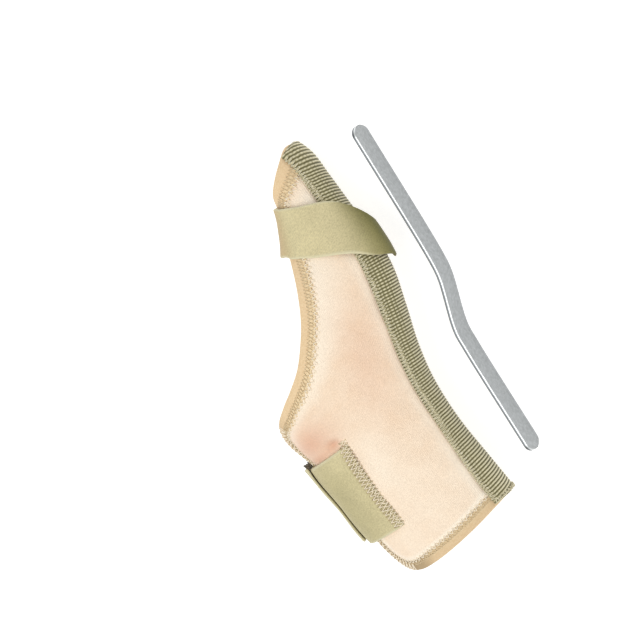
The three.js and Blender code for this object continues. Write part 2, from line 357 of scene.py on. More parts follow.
def bump(value, middle, width):
    return np.exp(-((value - middle) / width) ** 2)


def hills(rows, q, y):
    height = np.zeros_like(q)
    for strength, at_q, at_y, wide_q, wide_y in rows:
        height += strength * bump(q, at_q, wide_q) * bump(y, at_y, wide_y)
    return height


def ripples(rows, along, across, shift=0):
    height = np.zeros_like(along)
    for amplitude, along_mm, across_mm, phase in rows:
        height += amplitude * np.sin(2 * np.pi * (along / along_mm + across / across_mm) + phase + shift)
    return height


def flat_way(along, across):
    return np.stack([along, across], axis=1) * MM


print("half way up a ramp", ramp(0, 2, 1))

# %% [markdown]
# Every cloth piece here has two faces and a rim. A grid operator makes each face, numbers move the
# grid's points to their place, and bridging the two open borders closes the rim.
# A point's way along and across the cloth is kept as a UV map in metres, so a weave can follow the
# cloth. Notes such as a strap's tone with its painted light and shade are kept as attributes, for the
# materials to read.

# %% A cloth piece from two grids
def cloth_piece(name, rows, columns, point, notes=()):
    bm = bmesh.new()
    uv_layer = bm.loops.layers.uv.new("cloth")
    layers = {key: bm.verts.layers.float.new(key) for key in notes}
    ways = {}
    for face in (1, 0):
        made = bmesh.ops.create_grid(bm, x_segments=rows, y_segments=columns, size=0.5)["verts"]
        t = np.array([vert.co.x + 0.5 for vert in made])
        u = np.array([vert.co.y + 0.5 for vert in made])
        spots, flat, marks = point(t, u, face)
        spots = to_row(spots)
        for k, vert in enumerate(made):
            vert.co = spots[k]
            ways[vert] = flat[k]
            for key, layer in layers.items():
                vert[layer] = marks[key][k]
    border = [edge for edge in bm.edges if edge.is_boundary]
    bmesh.ops.bridge_loops(bm, edges=border)
    bmesh.ops.recalc_face_normals(bm, faces=bm.faces)
    for face in bm.faces:
        face.smooth = True
        for loop in face.loops:
            loop[uv_layer].uv = ways[loop.vert]
    open_edges = sum(not edge.is_manifold for edge in bm.edges)
    print(name, len(bm.faces), "faces", open_edges, "open edges")
    return piece_from(bm, name)


# %% [markdown]
# The flaps are foam rubber between two layers of cream jersey, three millimetres thick.
# The tape squeezes the edge thin, so the faces close up there and swell again past the seam.
# The palm side also has a dimple above the wrist strap and a soft bulge at the heel corner.
# A cloth simulation could swell the foam, but its remesh would wipe out the seams.

# %% Padding of the flaps
SQUEEZE = 0.62
SQUEEZE_FROM = 5.2
SQUEEZE_TO = 9.6
SEAM_SHARE = np.array([
    # run along the edge, how far in the seam lies there, as a share of the full tape
    (0, 0.68), (50, 0.66), (64, 0.56), (138, 0.56), (166, 1.0), (298, 1.0),
])
SEAM_PITCH = 2.8
PUCKER = {"high": 0.16, "in": 8.1, "wide": 2.2}
HEEL_AND_DIMPLE = [
    # height, q, y, millimetres round, millimetres along
    (1.0, 58.0, 71.0, 11.0, 11.0),
    (-1.6, 52.0, 64.8, 5.0, 2.0),
]
WAVES = [
    # amplitude, millimetres round, millimetres along, phase
    (0.22, 31.0, 47.0, 0.4),
    (0.16, 19.0, -26.0, 1.9),
    (0.10, -12.5, 15.0, 3.1),
]


def seam_share(run):
    return np.interp(run, *SEAM_SHARE.T)


def squeezed(depth):
    return SQUEEZE * (1 - ramp(SQUEEZE_FROM, SQUEEZE_TO, depth))


def pucker(run, depth):
    near = bump(depth, PUCKER["in"], PUCKER["wide"])
    return PUCKER["high"] * np.cos(2 * np.pi * run / SEAM_PITCH) * near


def swell(side, q, y):
    height = ripples(WAVES, q, y, side)
    if side > 0:
        height += hills(HEEL_AND_DIMPLE, q, y)
    return height


print("squeezed at the edge to", NEOPRENE - 2 * SQUEEZE, "mm")

# %% [markdown]
# Cream jersey is not one colour. It is paler beside the seams and the band, and painted light makes it
# paler towards the wrist end and beside the strap, where the light falls on it. Painted shade makes it
# warmer and darker in the hollow above the wrist strap, the dimple, the crease along the strap's top,
# the middle of the palm side and the rim corner. Painting that by hand would need a picture, so soft
# spots and steps write it to two attributes: pale, and one for the warm painted shade.

# %% Tones of the flaps
# painted warm shade: the hollow above the wrist strap, the dimple, the crease along the strap's top, the
# middle, the rim corner
PAINTED_WARM_SHADES = [
    # strength, q, y, millimetres round, millimetres along
    (0.76, 64.0, 70.5, 15.0, 8.5),
    (0.55, 51.5, 65.0, 4.0, 2.6),
    (0.45, 63.0, 63.0, 9.0, 1.8),
    (0.30, 22.0, 88.0, 12.0, 26.0),
    (0.34, 70.0, 5.0, 8.0, 7.0),
]
PALE_EDGE = {"strength": 0.7, "from": 9.0}
PALE_REACH = np.array([
    # run along the edge, how far in the cloth is pale there
    (0, 16), (130, 16), (170, 30), (298, 30),
])
PALE_BAND = {"strength": 0.42, "out": 14.5, "wide": 2.2}
# painted light: paler towards the wrist end and beside the strap
PAINTED_LIGHT_WRIST = {"strength": 0.3, "y": 14.0, "wide": 22.0}
PAINTED_LIGHT_BESIDE_STRAP = [(0.5, 36.0, 47.0, 10.0, 17.0)]
TIP_DULL = {"strength": 0.7, "from": 158.0, "to": 168.0}


def flap_tones(side, run, depth, q, pattern):
    out, y = pattern.T
    # painted warm shade, on the palm side only
    painted_warm_shade = hills(PAINTED_WARM_SHADES, q, y) * (side > 0)
    pale_to = np.interp(run, *PALE_REACH.T)
    pale = PALE_EDGE["strength"] * (1 - ramp(PALE_EDGE["from"], pale_to, depth))
    pale += PALE_BAND["strength"] * bump(out, PALE_BAND["out"], PALE_BAND["wide"])
    # painted light towards the wrist end and beside the strap
    pale += PAINTED_LIGHT_WRIST["strength"] * bump(y, PAINTED_LIGHT_WRIST["y"], PAINTED_LIGHT_WRIST["wide"]) * (1 - painted_warm_shade)
    pale += hills(PAINTED_LIGHT_BESIDE_STRAP, q, y) * (side > 0)
    pale *= 1 - fade(TIP_DULL, y)
    return {"pale": np.clip(pale, 0, 1), "painted_warm_shade": painted_warm_shade}


print(len(PAINTED_WARM_SHADES), "warm places")

# %% [markdown]
# A flap's grid runs along the free edge one way and from the edge to the fold the other way.
# The first part of the way in follows the edge closely, so that the seam has enough points.

# %% Flaps
EDGE_BAND = 6.2
EDGE_PART = 0.3
EDGE_CROWD = 1.5
SWELL_FROM = (SQUEEZE_TO - 1, SQUEEZE_TO + 4)
SWELL_TO = (0.72, 0.86)
FLAP_ROWS = 300
FLAP_COLUMNS = 76


def flap_point(side):
    def point(t, u, face):
        run = t * EDGE_LENGTH
        edge, inward, fold = edge_at(run)
        depth = np.minimum(u / EDGE_PART, 1) * EDGE_BAND
        pattern = edge + inward * depth[:, None]
        part = np.maximum((u - EDGE_PART) / (1 - EDGE_PART), 0) ** EDGE_CROWD
        to_fold = np.stack([np.zeros_like(fold), fold], axis=1) - pattern
        pattern = pattern + to_fold * part[:, None]
        depth = (depth + part * np.linalg.norm(to_fold, axis=1)) / seam_share(run)
        q = fold_at(pattern[:, 1]) + side * pattern[:, 0]
        h = squeezed(depth)
        if face:
            free = ramp(*SWELL_FROM, depth) * (1 - ramp(*SWELL_TO, part))
            h = NEOPRENE - h + pucker(run, depth) + swell(side, q, pattern[:, 1]) * free
        if side < 0:
            h = np.minimum(h, NEOPRENE)
        return on_flap(side, pattern, h), pattern * MM, flap_tones(side, run, depth, q, pattern)

    return point


flaps = {}
for word, side in SIDES.items():
    name = word + "_flap_cloth"
    flaps[word] = cloth_piece(name, FLAP_ROWS, FLAP_COLUMNS, flap_point(side), ("pale", "painted_warm_shade"))

# %% [markdown]
# Jersey knit over foam rubber is matt and a little fuzzy, which the sheen gives, and the foam below
# mottles it. The two attributes mix in the paler cream, part of it painted light, and the warmer cream
# of painted shade.
# The knit's columns are about half a millimetre apart on such cloth, and are drawn coarser so that
# they show.

# %% Cream jersey over foam rubber
KNIT_COLUMN = 0.75
KNIT_BUMP = 0.0002
MOTTLE = 9.0

cream_jersey, tree, shader = new_material(
    "jersey_on_foam_rubber", Roughness=0.92, Sheen_Weight=0.25, Sheen_Roughness=0.6)
spot = add_node(tree, "TexCoord").outputs["Object"]
cloth = add_node(tree, "UVMap", uv_map="cloth")
mottle = add_node(tree, "TexNoise", {
    "Vector": spot, "Scale": 1000 / MOTTLE, "Detail": 4.0, "Roughness": 0.62})
tone = add_node(tree, "ValToRGB", {"Fac": mottle}, stops=[(0.32, "#F1D7BA"), (0.68, "#F6E0C6")])
# mixes in the paler cream, part of it painted light, then the warm painted shade
halo = tinted(tree, tone, "pale", linear("#FDF1DD"))
warm = tinted(tree, halo, "painted_warm_shade", linear("#DDA98A"))
knit_columns = add_node(tree, "TexWave", {
    "Vector": cloth, "Scale": wave_scale(KNIT_COLUMN), "Distortion": 3.0, "Detail": 2.0,
    "Detail Scale": 1.6}, bands_direction="X").outputs["Fac"]
grain = add_node(tree, "TexNoise", {"Vector": spot, "Scale": 1000 / KNIT_COLUMN, "Detail": 2.0})
fleck = add_node(tree, "MapRange", {
    "Value": grain, "From Min": 0.3, "From Max": 0.7, "To Min": 0.93, "To Max": 1.05})
flecked = add_node(tree, "Mix", {
    "Factor": 1.0, "A": warm, "B": fleck}, data_type="RGBA", blend_type="MULTIPLY")
relief = add_node(tree, "Math", {0: knit_columns, 1: grain}, operation="ADD")
knit = add_node(tree, "Bump", {"Height": relief, "Distance": KNIT_BUMP, "Strength": 0.5})
connect(tree, shader, Base_Color=flecked, Normal=knit)

for word in SIDES:
    finish_piece(flaps[word], cream_jersey, [word + "_flap"])

# %% [markdown]
# The binding is a soft tan tape, folded over the free edge and sewn through.
# Its section is drawn once, as an outer leg, a turn and an inner leg, and carried along the edge.
# The outer leg is the wider one, and it follows the squeezed cloth below it. The stitches pull its
# border into teeth. A note says where painted shade darkens the tape, most along the outer side of the
# wrist and a little at the rim.

# %% Bindings
TAPE = 0.5
TAPE_INSIDE = 0.04
TAPE_OUTER_LEG = 7.9
TAPE_INNER_LEG = 5.6
TAPE_FOLD = 1.05
TAPE_TURN_STEPS = 9
TAPE_LEG_STEPS = 9
TAPE_SEWN_FROM = 3.0
TAPE_TOOTH = 0.9
TAPE_QUILT = 0.08
TAPE_PAINTED_SHADE = np.array([
    # run along the edge, how much painted shade darkens the tape there
    (0, 0.14), (48, 0.16), (56, 0.7), (66, 0.85), (140, 0.7), (168, 0.0), (298, 0.0),
])
TAPE_ROWS = 636
TAPE_COLUMNS = 26


def tape_section(skin, u):
    outer_leg = np.linspace(TAPE_OUTER_LEG, 0, TAPE_LEG_STEPS)
    inner_leg = np.linspace(0, TAPE_INNER_LEG, TAPE_LEG_STEPS)
    angle = np.linspace(0, np.pi, TAPE_TURN_STEPS)[1:-1]
    turn_depth = -(TAPE_FOLD - TAPE + skin) * np.sin(angle)
    turn_height = NEOPRENE / 2 + (NEOPRENE / 2 - SQUEEZE + skin) * np.cos(angle)
    depth = np.concatenate([outer_leg, turn_depth, inner_leg])
    top = NEOPRENE - squeezed(outer_leg) + skin
    bottom = squeezed(inner_leg) - skin
    height = np.concatenate([top, turn_height, bottom])
    ways = np.linspace(0, 1, len(depth))
    return np.interp(u, ways, depth), np.interp(u, ways, height)


def tape_point(side):
    def point(t, u, face):
        run = t * EDGE_LENGTH
        depth, h = tape_section(TAPE if face else TAPE_INSIDE, u)
        above = u < 0.5
        sewn = ramp(TAPE_SEWN_FROM, TAPE_OUTER_LEG, depth) * above
        tooth = 4 * np.abs(np.mod(run / SEAM_PITCH, 1) - 0.5) - 1
        h = h + TAPE_QUILT * sewn * tooth
        depth = depth + TAPE_TOOTH * sewn * tooth
        if side < 0:
            h = np.minimum(h, NEOPRENE)
        across = np.where(above, depth, -depth)
        spots = in_from_edge(side, run, depth * seam_share(run), h)
        # painted shade along the outer side of the wrist and a little at the rim
        notes = {"from_fold": across, "painted_shade": np.interp(run, *TAPE_PAINTED_SHADE.T)}
        return spots, flat_way(run, across), notes

    return point


bindings = {}
for word, side in SIDES.items():
    name = word + "_binding_tape"
    bindings[word] = cloth_piece(
        name, TAPE_ROWS, TAPE_COLUMNS, tape_point(side), ("from_fold", "painted_shade"))

# %% [markdown]
# Knitted tape is matt and even along the fold. Under the stitches it is pressed, and small needle holes
# speckle it. Where the shade note is set, a darker tan is mixed in as painted shade.
# Its grain is about half a millimetre, and is drawn coarser so that it shows.

# %% Tan knitted tape
TAPE_GRAIN = 0.8
NEEDLE_HOLE = 1.3

tan_tape, tree, shader = new_material("knitted_cotton_tape", Roughness=0.9, Sheen_Weight=0.2)
spot = add_node(tree, "TexCoord").outputs["Object"]
grain = add_node(tree, "TexNoise", {"Vector": spot, "Scale": 1000 / TAPE_GRAIN, "Detail": 3.0})
plain = add_node(tree, "ValToRGB", {"Fac": grain}, stops=[(0.3, "#DDBF93"), (0.7, "#EACFA7")])
holes = add_node(tree, "TexVoronoi", {
    "Vector": spot, "Scale": 1000 / NEEDLE_HOLE, "Randomness": 0.8})
pressed = add_node(tree, "ValToRGB", {"Fac": holes}, stops=[(0.1, "#D6BC90"), (0.45, "#EDD8B0")])
sewn = tinted(tree, plain, "from_fold", pressed, {
    "From Min": 3.2, "From Max": 4.6, "To Min": 0.0, "To Max": 0.75})
# painted shade: a darker tan mixed in where the note says
dimmed = tinted(tree, sewn, "painted_shade", linear("#96805C"))
nap = add_node(tree, "Bump", {"Height": grain, "Distance": 0.0003, "Strength": 0.5})
connect(tree, shader, Base_Color=dimmed, Normal=nap)

for word in SIDES:
    finish_piece(bindings[word], tan_tape, [word + "_binding"])

# %% [markdown]
# A thread is a curve with a round section. It could be bump on the cloth, but a real thread catches
# the light and shows from every side. The curve is turned into a mesh, so that its place is in the
# mesh as it is for every other piece.

# %% A thread from a curve
THREAD = 0.26
THREAD_ROUNDING = 1
ZIGZAG_STEPS = 10


def thread_piece(name, lines, material, radius=THREAD):
    data = bpy.data.curves.new(name, "CURVE")
    data.dimensions = "3D"
    data.bevel_depth = radius * MM
    data.bevel_resolution = THREAD_ROUNDING
    data.use_fill_caps = True
    for line in lines:
        spline = data.splines.new("POLY")
        spline.points.add(len(line) - 1)
        for knot, spot_m in zip(spline.points, to_row(line)):
            knot.co = (*spot_m, 1.0)
    curve = bpy.data.objects.new(name + "_curve", data)
    bpy.context.scene.collection.objects.link(curve)
    bpy.context.view_layer.update()
    graph = bpy.context.evaluated_depsgraph_get()
    mesh = bpy.data.meshes.new_from_object(curve.evaluated_get(graph))
    mesh.name = name
    mesh.polygons.foreach_set("use_smooth", [True] * len(mesh.polygons))
    bpy.data.objects.remove(curve)
    piece = bpy.data.objects.new(name, mesh)
    bpy.context.scene.collection.objects.link(piece)
    finish_piece(piece, material)


def zigzag(start, stop, pitch, phase):
    count = int((stop - start) / pitch * ZIGZAG_STEPS)
    run = np.linspace(start, stop, count)
    cycle = np.mod(run / pitch + phase, 1)
    return run, np.abs(2 * cycle - 1)


print("zigzag points in 10 mm", len(zigzag(0, 10, SEAM_PITCH, 0)[0]))

# %% [markdown]
# Spun thread is matt with a light fuzz, and its plies make it lighter and darker along its length.
# The plies are about a quarter of a millimetre, and are drawn coarser so that they show.

# %% Spun thread
PLY = 0.6


def thread_material(name, dark, light):
    material, tree, shader = new_material(name, Roughness=0.8, Sheen_Weight=0.3)
    spot = add_node(tree, "TexCoord").outputs["Object"]
    ply = add_node(tree, "TexNoise", {"Vector": spot, "Scale": 1000 / PLY})
    tone = add_node(tree, "ValToRGB", {"Fac": ply}, stops=[(0.35, dark), (0.65, light)])
    connect(tree, shader, Base_Color=tone)
    return material


tan_thread = thread_material("tan_spun_thread", "#DCCBA6", "#EFE2C4")
brown_thread = thread_material("brown_spun_thread", "#C8AF86", "#E3CFA8")
pale_thread = thread_material("pale_spun_thread", "#EEDFC2", "#FAEEDA")

# %% [markdown]
# The seam beside the tape is three zigzags, two of brown thread on the tape and a pale one on the
# cloth. Each dips at its needle holes and stands proud between them. One more zigzag holds the tape
# on the inside.

# %% Seams of the tapes
SEAM_END = 1.5
WIDER_RUN = (138, 166)
THREAD_ARCH = 0.9
THREAD_SUNK = 0.3
TAPE_LINES = [
    # depth of the near and the far needle holes, phase, lift, how much wider past the heel corner
    (4.2, 7.7, 0.0, 0.1, 1.3),
    (4.4, 6.8, 0.5, 0.4, 1.3),
]
CLOTH_LINES = [(6.6, 9.9, 0.5, 0.3, 0.0)]
INSIDE_LINE = {"near": 2.8, "wide": 4.4, "phase": 0.25, "sunk": 0.6}
BROWN_RADIUS = 0.16
PALE_RADIUS = 0.22


def seam_thread(side, near, far, phase, lift, wider):
    run, sway = zigzag(SEAM_END, EDGE_LENGTH - SEAM_END, SEAM_PITCH, phase)
    near = near - wider * ramp(*WIDER_RUN, run)
    depth = near + (far - near) * sway
    dip = 1 - (2 * sway - 1) ** 4
    h = NEOPRENE - squeezed(depth) + TAPE * (depth < TAPE_OUTER_LEG)
    h = h + THREAD * (lift + THREAD_ARCH * dip - THREAD_SUNK)
    if side < 0:
        h = np.minimum(h, NEOPRENE - THREAD)
    return in_from_edge(side, run, depth * seam_share(run), h)


def inside_thread(side):
    run, sway = zigzag(SEAM_END, EDGE_LENGTH - SEAM_END, SEAM_PITCH, INSIDE_LINE["phase"])
    depth = INSIDE_LINE["near"] + INSIDE_LINE["wide"] * sway
    h = squeezed(depth) - THREAD * INSIDE_LINE["sunk"] - TAPE * (depth < TAPE_INNER_LEG)
    return in_from_edge(side, run, depth * seam_share(run), h)


for word, side in SIDES.items():
    tape_lines = [seam_thread(side, *line) for line in TAPE_LINES]
    thread_piece(word + "_seam_brown_thread", tape_lines, brown_thread, radius=BROWN_RADIUS)
    cloth_lines = [seam_thread(side, *line) for line in CLOTH_LINES]
    thread_piece(word + "_seam_pale_thread", cloth_lines, pale_thread, radius=PALE_RADIUS)
    thread_piece(word + "_inside_thread", [inside_thread(side)], brown_thread)

# %% [markdown]
# Pale stitches wrap the outer edge of the palm flap, from the rim corner to past the heel corner.
# They follow the tape's own section, so they bend round the fold with it.
# A flat zigzag joins the two flaps along the fold, on the inside.

# %% Wrapping and fold stitches
WHIP = {"from": 62.0, "to": 160.0, "pitch": 2.3, "inner": 0.06, "outer": 0.5, "proud": 0.15}
FOLD_SEAM = {"from": 2.0, "to": 181.0, "half": 1.7, "pitch": 2.4, "sunk": 0.4}


def whip_thread(side):
    run, sway = zigzag(WHIP["from"], WHIP["to"], WHIP["pitch"], 0.0)
    u = WHIP["inner"] + (WHIP["outer"] - WHIP["inner"]) * sway
    depth, h = tape_section(TAPE + WHIP["proud"], u)
    return in_from_edge(side, run, depth * seam_share(run), h)


def fold_thread(phase):
    y, sway = zigzag(FOLD_SEAM["from"], FOLD_SEAM["to"], FOLD_SEAM["pitch"], phase)
    q = fold_at(y) + FOLD_SEAM["half"] * (2 * sway - 1)
    return place(q, y, np.full_like(y, -THREAD * FOLD_SEAM["sunk"]))


thread_piece("palmar_whip_thread", [whip_thread(SIDES["palmar"])], pale_thread)
thread_piece("fold_seam_thread", [fold_thread(0.0), fold_thread(0.5)], tan_thread)

# %% [markdown]
# The band along the thumb side is a ribbed elastic, sewn down along both edges so that it makes a
# pocket for the stay. Its ribs run across it, lean and bow a little, and are closer together where
# the band is bent. Counting ribs along the band gives every point the number of its rib.

# %% Ribs of the stay channel
CHANNEL_WIDTH = 25.0
RIB_PITCHES = np.array([
    # y, pitch of the ribs there
    (-4, 1.53), (60, 1.53), (90, 1.42), (122, 1.26), (140, 1.36), (156, 1.58), (190, 1.52),
])
RIB_LEAN = np.array([
    # y, lean in mm along per mm across, bow in mm along per square mm across
    (-1, 0.05, 0.014), (10, 0.05, 0.008), (30, 0.03, 0.002), (60, 0.02, 0.001), (90, -0.06, -0.001),
    (125, -0.10, -0.001), (155, -0.20, -0.003), (175, -0.14, -0.009), (185, -0.10, -0.012),
])
RIB_REACH = 14.0
RIB_GROUND = np.linspace(-8, 196, 2000)
RIB_COUNT = np.cumsum(np.gradient(RIB_GROUND) / np.interp(RIB_GROUND, *RIB_PITCHES.T))


def rib_wave(across, y):
    lean, bow = (np.interp(y, RIB_LEAN[:, 0], RIB_LEAN[:, k]) for k in (1, 2))
    reach = RIB_REACH * np.tanh(across / RIB_REACH)
    rib_number = np.interp(y - lean * reach - bow * reach ** 2, RIB_GROUND, RIB_COUNT)
    return 0.5 + 0.5 * np.cos(2 * np.pi * rib_number)


rib_total = RIB_COUNT[-1] - RIB_COUNT[0]
print("ribs", round(rib_total))

# %% [markdown]
# The ribs are real waves in the mesh. Beside the band's palm edge the sewing flattens them and breaks
# them into a small check, which is strongest below the thumb strap.
# The sewn edges are pinched down, and the middle arches over the pocket.

# %% Stay channel
CHANNEL_CLOTH = 1.2
CHANNEL_POCKET = 1.0
CHANNEL_GAP = 0.6
CHANNEL_SEWN_GAP = 0.15
CHANNEL_RIM = -0.6
CHANNEL_TIP = 184.2
CHANNEL_ROUNDED = 2.4
CHANNEL_FLOOR = 0.05
EDGE_PINCH = 1.6
END_PINCH = 1.4
PINCHED = 0.45
CHANNEL_SEAM = {"deep": 0.35, "in": 3.4, "wide": 0.8}
RIB_HEIGHT = 0.32
RIB_MIDDLE = 0.6
RIB_STEPS = 6
SEWN_ZONE = 10.8
SEWN_TO = ((45, 110), (6.0, SEWN_ZONE))
SEWN_DEEP = ((45, 100, 135, 165), (0.4, 0.66, 0.66, 0.46))
SEWN_FULL = 0.55
SEWN_PROUD = 0.08
SEWN_LINE = 1.6
FINE_STEP = 0.4
COARSE_POINTS = 14
CHANNEL_ACROSS = np.concatenate([
    np.arange(0, SEWN_ZONE, FINE_STEP), np.linspace(SEWN_ZONE, CHANNEL_WIDTH, COARSE_POINTS)])


def channel_heights(across, pinch):
    side = 1 - 2 * across / CHANNEL_WIDTH
    low = NEOPRENE + CHANNEL_SEWN_GAP + (CHANNEL_GAP - CHANNEL_SEWN_GAP) * pinch
    low = low + CHANNEL_POCKET * (1 - side ** 2)
    return side, low, CHANNEL_CLOTH * (PINCHED + (1 - PINCHED) * pinch)


def checked_ribs(across, y):
    sewn_to = np.interp(y, *SEWN_TO)
    sewn = 1 - ramp(sewn_to * SEWN_FULL, sewn_to, across)
    lines = sewn * (0.5 + 0.5 * np.cos(2 * np.pi * across / SEWN_LINE))
    return rib_wave(across, y) * (1 - np.interp(y, *SEWN_DEEP) * lines) + SEWN_PROUD * lines


def channel_point(t, u, face):
    across = np.interp(u, np.linspace(0, 1, len(CHANNEL_ACROSS)), CHANNEL_ACROSS)
    tip = CHANNEL_TIP - CHANNEL_ROUNDED * (1 - 2 * across / CHANNEL_WIDTH) ** 2
    y = CHANNEL_RIM + (tip - CHANNEL_RIM) * t
    to_edge = np.minimum(across, CHANNEL_WIDTH - across)
    to_end = np.minimum(y - CHANNEL_RIM, tip - y)
    pinch = ramp(0, EDGE_PINCH, to_edge) * ramp(0, END_PINCH, to_end)
    side, h, cloth = channel_heights(across, pinch)
    rib = checked_ribs(across, y)
    seam = CHANNEL_SEAM["deep"] * bump(across, CHANNEL_SEAM["in"], CHANNEL_SEAM["wide"])
    h = h + face * (cloth - seam + RIB_HEIGHT * (rib - RIB_MIDDLE))
    spots = place(fold_at(y) + side * CHANNEL_WIDTH / 2, y, h)
    spots[:, 2] = np.maximum(spots[:, 2], CHANNEL_FLOOR)
    return spots, flat_way(across, y), {"rib": rib, "from_palm_edge": across}


channel = cloth_piece(
    "stay_channel_elastic", int(rib_total * RIB_STEPS), len(CHANNEL_ACROSS) - 1, channel_point,
    ("rib", "from_palm_edge"))

# %% [markdown]
# The colour follows the ribs: light tan on a crest and dark olive in a valley.
# The attribute called rib, kept on the mesh, is one on a crest and nought in a valley.
# The yarn's fuzz is about a third of a millimetre, and is drawn coarser so that it shows.

# %% Ribbed elastic
YARN = 0.7
SELVEDGE = 2.4

ribbed_elastic, tree, shader = new_material("ribbed_elastic_webbing", Roughness=0.85, Sheen_Weight=0.2)
spot = add_node(tree, "TexCoord").outputs["Object"]
rib = add_node(tree, "Attribute", attribute_name="rib").outputs["Fac"]
yarn = add_node(tree, "TexNoise", {"Vector": spot, "Scale": 1000 / YARN, "Detail": 2.0})
broken = add_node(tree, "Math", {0: yarn, 1: 0.55, 2: -0.28}, operation="MULTIPLY_ADD")
crest = add_node(tree, "Math", {0: rib, 1: broken}, operation="ADD")
tone = add_node(tree, "ValToRGB", {"Fac": crest}, stops=[
    (0.14, "#55512F"), (0.45, "#A0966C"), (0.76, "#E2DABA")])
olive = tinted(tree, tone, "from_palm_edge", linear("#A39C6C"), {
    "From Min": SELVEDGE, "From Max": SEWN_ZONE, "To Min": 0.15, "To Max": 0.0})
fuzz = add_node(tree, "Bump", {"Height": yarn, "Distance": 0.0003, "Strength": 0.6})
connect(tree, shader, Base_Color=olive, Normal=fuzz)
finish_piece(channel, ribbed_elastic, ["stay_channel"])

# %% [markdown]
# The band's palm edge and its forearm end are oversewn: short stitches that wrap the cut edge.
# They are pale and close together, and they hide where the ribs stop.

# %% Oversewn edges of the channel
OVERSEW_PITCH = 1.5
EDGE_SEWING = {"from": 1.0, "short": 4.0, "phase": 0.0, "in": 2.2, "start": -0.5, "lift": 0.3}
END_SEWING = {"from": 0.4, "short": 6.0, "phase": 0.3, "in": 2.0, "start": 0.2, "lift": 0.35}
OVERSEW_RADIUS = 0.22


def channel_spot(across, y, lift):
    side, low, cloth = channel_heights(across, ramp(0, EDGE_PINCH, across))
    return place(fold_at(y) + side * CHANNEL_WIDTH / 2, y, low + cloth * (across > 0) + lift)


def oversewing(size, length):
    run, sway = zigzag(size["from"], length - size["short"], OVERSEW_PITCH, size["phase"])
    return run, size["start"] + size["in"] * sway


run, reach = oversewing(EDGE_SEWING, CHANNEL_TIP)
edge_line = channel_spot(reach, run, EDGE_SEWING["lift"])
run, reach = oversewing(END_SEWING, CHANNEL_WIDTH)
end_line = channel_spot(run, CHANNEL_RIM + reach, END_SEWING["lift"])
olive_thread = thread_material("olive_spun_thread", "#A89E74", "#EAE3C8")
thread_piece(
    "channel_oversewing", [edge_line, end_line], olive_thread, OVERSEW_RADIUS)

# %% [markdown]
# The straps are brushed loop cloth with soft cut edges. A bevel would make the edges hard and even,
# so the two faces close towards each other instead, and small waves make the nap uneven.

# %% Soft strap edges
STRAP_CLOTH = 2.0
STRAP_GAP = 0.7
EDGE_ROUND = 0.7
EDGE_THIN = 0.35
NAP = [
    # amplitude, millimetres along, millimetres across, phase
    (0.022, 1.9, 1.5, 0.0), (0.018, -1.4, 1.9, 0.0), (0.05, 17.0, 23.0, 0.0),
]


def strap_faces(low, along, across, length, width, face, thick=STRAP_CLOTH):
    to_edge = np.minimum.reduce([along, length - along, across, width - across])
    soft = np.sqrt(1 - (1 - np.clip(to_edge / EDGE_ROUND, 0, 1)) ** 2)
    half = thick / 2 * (EDGE_THIN + (1 - EDGE_THIN) * soft)
    return low + thick / 2 + (half + ripples(NAP, along, across) * soft) * (2 * face - 1)


print("strap cloth", STRAP_CLOTH, "mm")

# %% [markdown]
# The thumb strap is sewn down on the back, goes over the open side of the thumb and across the band,
# and its cut end stands a little off the band. A table gives its two edges part of the way round.
# Its notes say how far a place is from the cut edge, its tone with painted shade at the cut end and over
# the open side, and how much painted warm reflection falls over the open side.

# %% Thumb strap
THUMB_STRAP = np.array([
    # part of the way round, y of the low edge, y of the high edge
    (-0.055, 117.9, 135), (0.02, 122.1, 148), (0.09, 129.4, 154), (0.2, 136.2, 159),
    (0.3, 141, 163.2), (0.41, 144, 165.7), (0.5, 144.2, 165.9), (0.6, 143, 164.5), (0.69, 140.5, 162),
])
THUMB_STRAP_CLOTH = 1.6
THUMB_STRAP_LENGTH = 95.0
THUMB_STRAP_WIDTH = 23.5
CHANNEL_TOP = CHANNEL_GAP + CHANNEL_POCKET + CHANNEL_CLOTH
STRAP_RISE = 28.0
STRAP_LIFT = 2.2
LIFT_FROM = 0.16
STRAP_FLOOR = 0.3
OPEN_SIDE = {"strength": 0.6, "from": 0.33, "to": 0.42}
DIP_ACROSS = (0.4, 0.9)
PALE_CUT_FROM = (6, 23)
# painted shade at the cut end and over the open side; the tip is a little lighter
PAINTED_SHADE_END = 28.5
TIP_LIGHTER = {"strength": 0.12, "from": 0.0, "to": 6.0}
SIDE_PAINTED_SHADE = {"strength": 0.25, "from": 0.24, "to": 0.42}
# painted warm reflection over the open side
PAINTED_REFLECTION_SPAN = {"strength": 0.36, "from": 0.27, "to": 0.38}
THUMB_ROWS = 150
THUMB_COLUMNS = 52


